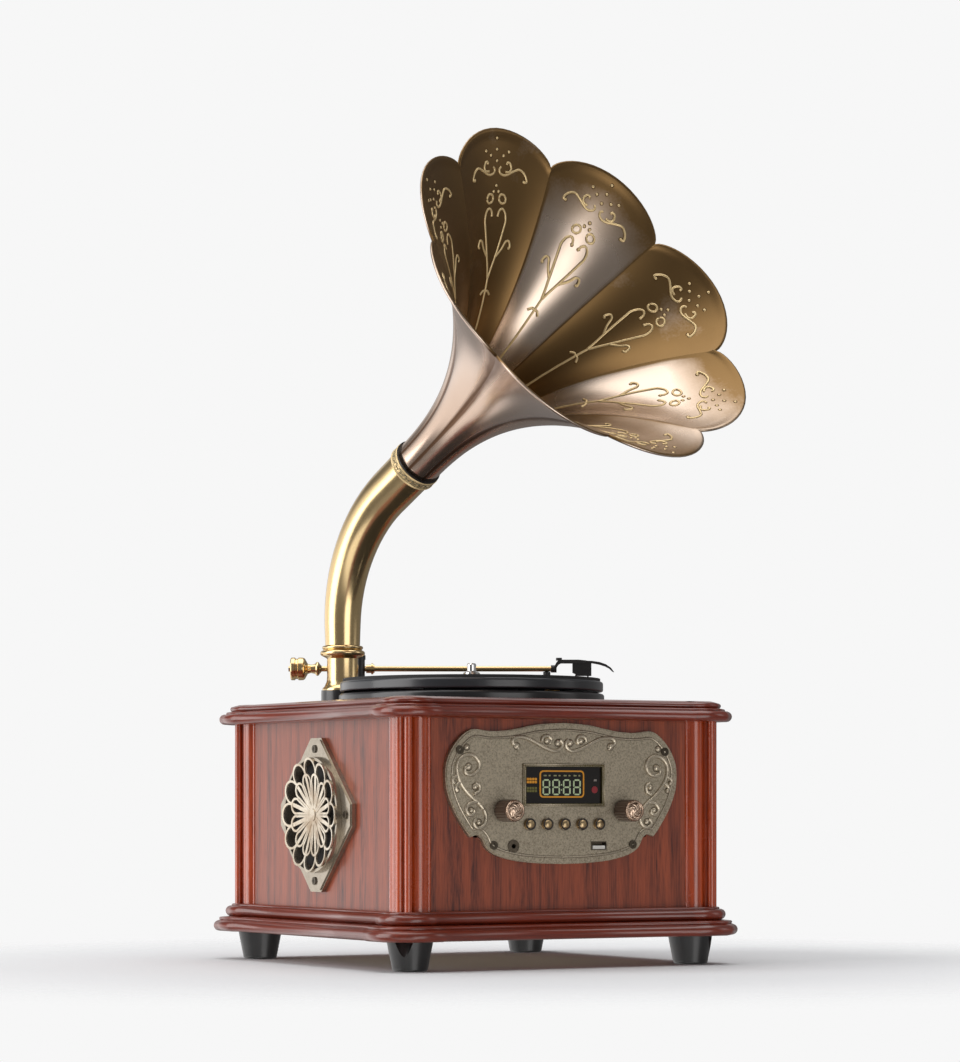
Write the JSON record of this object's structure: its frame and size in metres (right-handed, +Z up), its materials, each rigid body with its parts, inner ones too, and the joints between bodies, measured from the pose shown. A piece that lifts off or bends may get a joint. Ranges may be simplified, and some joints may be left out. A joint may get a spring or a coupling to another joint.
{
  "type": "gramophone",
  "caption": "Table-top gramophone: moulded wooden cabinet, belt-driven turntable with tonearm, petalled brass horn, display, knobs and buttons on a cast front plate, side speaker grilles.",
  "frame": {"origin": "on the floor plane under the feet, at the middle of the bounding box of the whole machine, horn included", "axes": "+X to the right seen from the front, -Y out of the control plate towards the listener, +Z up"},
  "size_m": [0.3088, 0.4024, 0.6236],
  "materials": {
    "case_wood": "dark red-brown stained wood, satin lacquer",
    "plain_wood": "plain board, unfinished",
    "black_plastic": "black, semi-gloss",
    "matt_black": "black, satin",
    "black_rubber": "matt black",
    "platter_paint": "black, satin",
    "chrome": "polished",
    "steel": "plain",
    "brass": "antique brass, lightly worn",
    "horn_brass": "antique brass with embossed scrolls, bronze outside",
    "bearing_bronze": "plain bronze",
    "cast_metal": "cast, antique pewter with dark recesses",
    "bright_cast": "cast, worn pewter",
    "black_metal": "black, satin",
    "socket_black": "black",
    "nickel": "nickel plated",
    "display_pane": "clear smoked pane",
    "knob_brown": "dark brown, satin",
    "copper": "antique copper, polished",
    "button_gold": "gold coloured, satin",
    "board_green": "green circuit board",
    "cone_paper": "black paper cone",
    "core_steel": "laminated steel core"
  },
  "bodies": {
    "cabinet": {"bottom_board": "plain_wood", "base_moulding": "case_wood", "front_panel": "case_wood", "rear_panel": "case_wood", "left_panel": "case_wood", "right_panel": "case_wood", "corner_posts": "case_wood", "top_moulding": "case_wood", "top_board": "case_wood", "feet": "black_plastic", "screws": "steel", "rear_plate": "black_metal", "power_inlet": "socket_black", "line_out_jacks": "nickel", "switch_housing": "socket_black", "deck_plate": "black_plastic", "spindle_bearing": "bearing_bronze", "motor": "steel", "drive_belt": "black_rubber", "tonearm_base": "black_plastic", "arm_rest": "matt_black", "horn_pillar": "brass", "horn_driver": "matt_black", "control_plate": "cast_metal", "display_frame": "cast_metal", "display_window": "display_pane", "potentiometers": "steel", "front_sockets": "nickel", "control_board": "board_green", "grille_left": "cast_metal", "grille_right": "cast_metal", "flower_left": "bright_cast", "flower_right": "bright_cast", "speaker_baskets": "black_metal", "speaker_cones": "cone_paper", "amplifier_board": "board_green", "transformer": "core_steel"},
    "platter_assembly": {"platter": "platter_paint", "platter_mat": "black_rubber", "spindle": "chrome"},
    "motor_rotor": {"motor_pulley": "bearing_bronze"},
    "arm_turret": {"tonearm_turret": "black_plastic"},
    "arm": {"tonearm_tube": "brass", "headshell": "matt_black", "cartridge": "matt_black"},
    "balance_weight": {"counterweight": "brass"},
    "horn_assembly": {"elbow_tube": "brass", "elbow_collar": "brass", "horn_gasket": "black_rubber", "horn": "horn_brass"},
    "left_knob": {"knob_left": "knob_brown", "knob_cap_left": "copper"},
    "right_knob": {"knob_right": "knob_brown", "knob_cap_right": "copper"},
    "push_button_1": {"button_1": "button_gold"},
    "push_button_2": {"button_2": "button_gold"},
    "push_button_3": {"button_3": "button_gold"},
    "push_button_4": {"button_4": "button_gold"},
    "push_button_5": {"button_5": "button_gold"},
    "rocker": {"power_switch": "socket_black"}
  },
  "joints": [
    {"name": "platter_spin", "type": "hinge", "parent": "cabinet", "child": "platter_assembly", "pos_m": [0, 0.04627, 0.2076], "axis": [0, 0, 1], "continuous": true},
    {"name": "motor_spin", "type": "hinge", "parent": "cabinet", "child": "motor_rotor", "pos_m": [0.04525, 0.00101, 0.1989], "axis": [0, 0, 1], "continuous": true},
    {"name": "arm_swing", "type": "hinge", "parent": "cabinet", "child": "arm_turret", "pos_m": [-0.03702, 0.17029, 0.2293], "axis": [0, 0, 1], "range_deg": [-38, 0]},
    {"name": "arm_lift", "type": "hinge", "parent": "arm_turret", "child": "arm", "pos_m": [-0.03702, 0.17029, 0.2293], "axis": [-0.5, -0.866, 0], "range_deg": [0, 18]},
    {"name": "weight_slide", "type": "slide", "parent": "arm", "child": "balance_weight", "axis": [0.866, -0.5, 0], "range_m": [-0.003, 0.003]},
    {"name": "horn_swivel", "type": "hinge", "parent": "cabinet", "child": "horn_assembly", "pos_m": [-0.05702, 0.15129, 0.2466], "axis": [0, 0, 1], "range_deg": [-35, 35]},
    {"name": "left_knob_turn", "type": "hinge", "parent": "cabinet", "child": "left_knob", "pos_m": [-0.0515, -0.08983, 0.1162], "axis": [0, -1, 0], "range_deg": [-150, 150]},
    {"name": "right_knob_turn", "type": "hinge", "parent": "cabinet", "child": "right_knob", "pos_m": [0.0515, -0.08983, 0.1162], "axis": [0, -1, 0], "range_deg": [-150, 150]},
    {"name": "button_1_press", "type": "slide", "parent": "cabinet", "child": "push_button_1", "axis": [0, 1, 0], "range_m": [0, 0.0015], "stiffness_N_per_m": 300, "springref_m": -0.001},
    {"name": "button_2_press", "type": "slide", "parent": "cabinet", "child": "push_button_2", "axis": [0, 1, 0], "range_m": [0, 0.0015], "stiffness_N_per_m": 300, "springref_m": -0.001},
    {"name": "button_3_press", "type": "slide", "parent": "cabinet", "child": "push_button_3", "axis": [0, 1, 0], "range_m": [0, 0.0015], "stiffness_N_per_m": 300, "springref_m": -0.001},
    {"name": "button_4_press", "type": "slide", "parent": "cabinet", "child": "push_button_4", "axis": [0, 1, 0], "range_m": [0, 0.0015], "stiffness_N_per_m": 300, "springref_m": -0.001},
    {"name": "button_5_press", "type": "slide", "parent": "cabinet", "child": "push_button_5", "axis": [0, 1, 0], "range_m": [0, 0.0015], "stiffness_N_per_m": 300, "springref_m": -0.001},
    {"name": "rocker_tip", "type": "hinge", "parent": "cabinet", "child": "rocker", "pos_m": [-0.044, 0.17737, 0.0854], "axis": [1, 0, 0], "range_deg": [0, 20]}
  ],
  "couplings": [
    {"joint": "motor_spin", "follows": "platter_spin", "ratio": 6}
  ]
}
